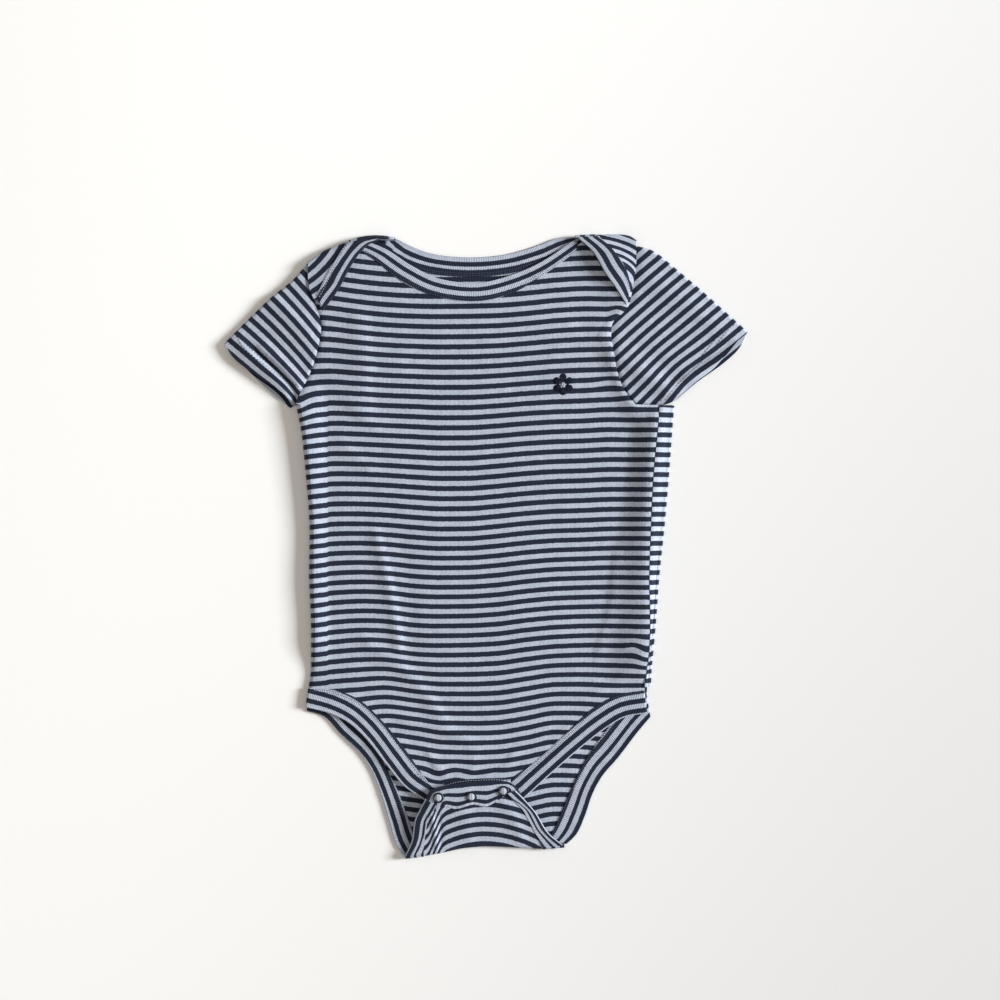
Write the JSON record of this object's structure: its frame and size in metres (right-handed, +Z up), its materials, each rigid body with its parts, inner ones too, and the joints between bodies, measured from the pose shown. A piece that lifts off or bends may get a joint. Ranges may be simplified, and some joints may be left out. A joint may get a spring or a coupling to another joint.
{
  "type": "baby onesie",
  "caption": "Short-sleeved striped baby bodysuit with envelope shoulders, laid flat with its crotch flap snapped shut.",
  "frame": {"origin": "on the surface it lies on, under the middle of its outline", "axes": "+Y from the crotch up to the neck, +X to the right across the front, +Z up out of the front"},
  "size_m": [0.3456, 0.4125, 0.0095],
  "materials": {
    "body_jersey": "cotton jersey with navy and heather grey stripes, matt, softly napped",
    "sleeve_jersey": "cotton jersey with navy and heather grey stripes, matt, softly napped, stripes along the hem",
    "binding": "self-fabric binding, stripes along its length, coverstitched",
    "placket": "doubled self-fabric placket, stripes along its length",
    "snap_enamel": "navy enamel, satin",
    "snap_metal": "navy enamel, satin, hidden between the plackets"
  },
  "bodies": {
    "root": {"back_panel": "body_jersey", "front_panel": "body_jersey", "sleeve_left": "sleeve_jersey", "sleeve_right": "sleeve_jersey", "neck_binding_front": "binding", "neck_binding_back": "binding", "leg_binding_front_left": "binding", "leg_binding_front_right": "binding", "leg_binding_back_left": "binding", "leg_binding_back_right": "binding", "crotch_placket_front": "placket", "crotch_placket_back": "placket", "snap_ring_1": "snap_enamel", "snap_stud_1": "snap_metal", "snap_ring_2": "snap_enamel", "snap_stud_2": "snap_metal", "snap_ring_3": "snap_enamel", "snap_stud_3": "snap_metal"}
  },
  "joints": []
}
